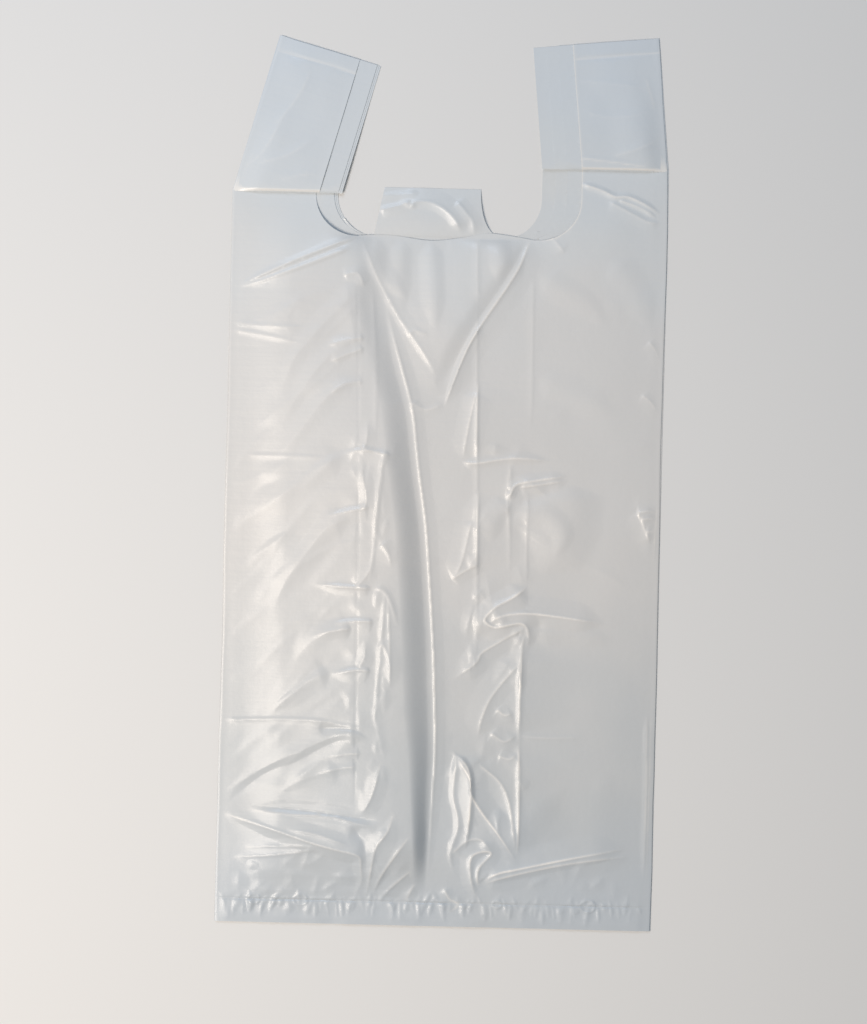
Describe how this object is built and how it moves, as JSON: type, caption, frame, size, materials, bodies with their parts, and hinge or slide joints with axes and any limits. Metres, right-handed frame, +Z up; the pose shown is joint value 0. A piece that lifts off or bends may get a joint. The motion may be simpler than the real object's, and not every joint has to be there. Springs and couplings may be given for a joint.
{
  "type": "plastic carrier bag",
  "caption": "Flat empty vest-style carrier bag of thin white film with side gussets, a welded hem, two strap handles and a tab at the neck.",
  "frame": {"origin": "on the surface that the bag lies on, under the middle of its box", "axes": "+X across the bag to the right as seen from above, +Y from the hem to the strap tops, +Z up through the front panel"},
  "size_m": [0.3, 0.6126, 0.008],
  "materials": {
    "film": "semi-gloss translucent white high-density polyethylene film, creased"
  },
  "bodies": {
    "root": {"carrier_bag": "film"}
  },
  "joints": []
}
